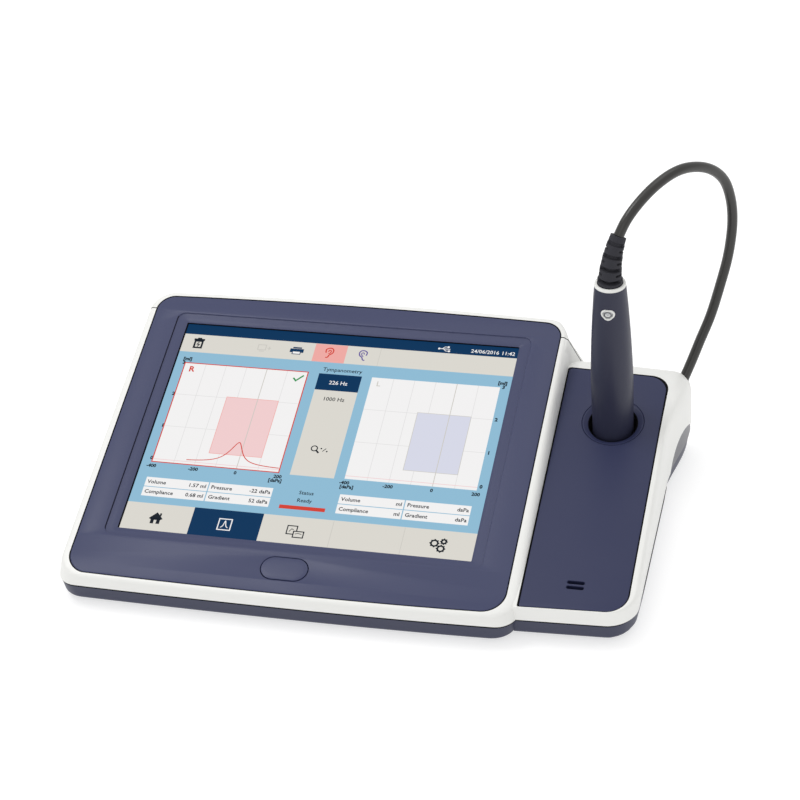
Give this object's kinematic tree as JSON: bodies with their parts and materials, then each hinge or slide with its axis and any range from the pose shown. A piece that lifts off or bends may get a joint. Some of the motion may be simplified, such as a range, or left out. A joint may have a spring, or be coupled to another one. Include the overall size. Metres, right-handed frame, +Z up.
{
  "type": "tympanometer",
  "caption": "Desktop tympanometer with a tilted touch display, a lower side module and a corded ear probe standing in its cradle.",
  "frame": {"origin": "middle of the footprint of the housings, on the table under the rubber feet; the probe's cord is left out", "axes": "+X from the display towards the probe's side module, +Y away from the user, +Z up"},
  "size_m": [0.2948, 0.1885, 0.1622],
  "materials": {
    "white_plastic": "satin",
    "slate_plastic": "matt",
    "navy_plastic": "satin",
    "dark_plastic": "matt",
    "black_plastic": "satin",
    "button_plastic": "matt",
    "white_nylon": "satin",
    "glass": "polished",
    "steel": "brushed",
    "board_green": "glossy",
    "black_rubber": "matt",
    "clear_tube": "satin"
  },
  "bodies": {
    "console": {"lower_housing": "dark_plastic", "upper_housing": "white_plastic", "rear_cover": "white_plastic", "side_cover": "navy_plastic", "display_bezel": "slate_plastic", "touch_glass": "glass", "lcd_panel": "steel", "display_bracket": "steel", "button_board": "board_green", "key_switch": "black_plastic", "cradle_ring": "navy_plastic", "cradle_cup": "black_plastic", "loudspeaker": "black_plastic", "cable_gland": "black_rubber", "main_board": "board_green", "board_chips": "black_plastic", "board_screws": "steel", "housing_screws": "steel", "rubber_feet": "black_rubber", "power_socket": "black_plastic", "usb_sockets": "steel", "usb_device_socket": "steel", "pump_bracket": "steel", "pump_motor": "steel", "pump_cylinder": "white_nylon", "pressure_sensor": "black_plastic", "air_tube": "clear_tube", "probe_cable": "black_rubber"},
    "front_button_cap": {"front_button": "slate_plastic"},
    "probe": {"probe_shell": "navy_plastic", "probe_collar": "white_plastic", "thumb_ring_trim": "white_plastic", "probe_switch": "black_plastic", "probe_board": "board_green", "probe_receiver": "steel", "probe_microphone": "steel", "probe_nose": "black_plastic", "probe_tip": "white_nylon", "strain_relief": "black_rubber"},
    "probe_button_cap": {"probe_button": "button_plastic"},
    "pump_screw_shaft": {"pump_screw": "steel"},
    "plunger": {"pump_plunger": "black_rubber"}
  },
  "joints": [
    {"name": "front_button_press", "type": "slide", "parent": "console", "child": "front_button_cap", "axis": [0, 0.2588, -0.9659], "range_m": [0, 0.0006], "stiffness_N_per_m": 600, "springref_m": -0.0004},
    {"name": "probe_lift", "type": "slide", "parent": "console", "child": "probe", "axis": [0, 0, 1], "range_m": [0, 0.04], "deforming": ["probe_cable"]},
    {"name": "probe_button_press", "type": "slide", "parent": "probe", "child": "probe_button_cap", "axis": [0, 1, 0], "range_m": [0, 0.0004], "stiffness_N_per_m": 400, "springref_m": -0.0003},
    {"name": "pump_screw_turn", "type": "hinge", "parent": "console", "child": "pump_screw_shaft", "pos_m": [0.0967, -0.00614, 0.0151], "axis": [0, 1, 0], "range_deg": [0, 1080]},
    {"name": "plunger_draw", "type": "slide", "parent": "console", "child": "plunger", "axis": [0, -1, 0], "range_m": [0, 0.012]}
  ],
  "couplings": [
    {"joint": "pump_screw_turn", "follows": "plunger_draw", "rad_per_m": 1570.8}
  ]
}
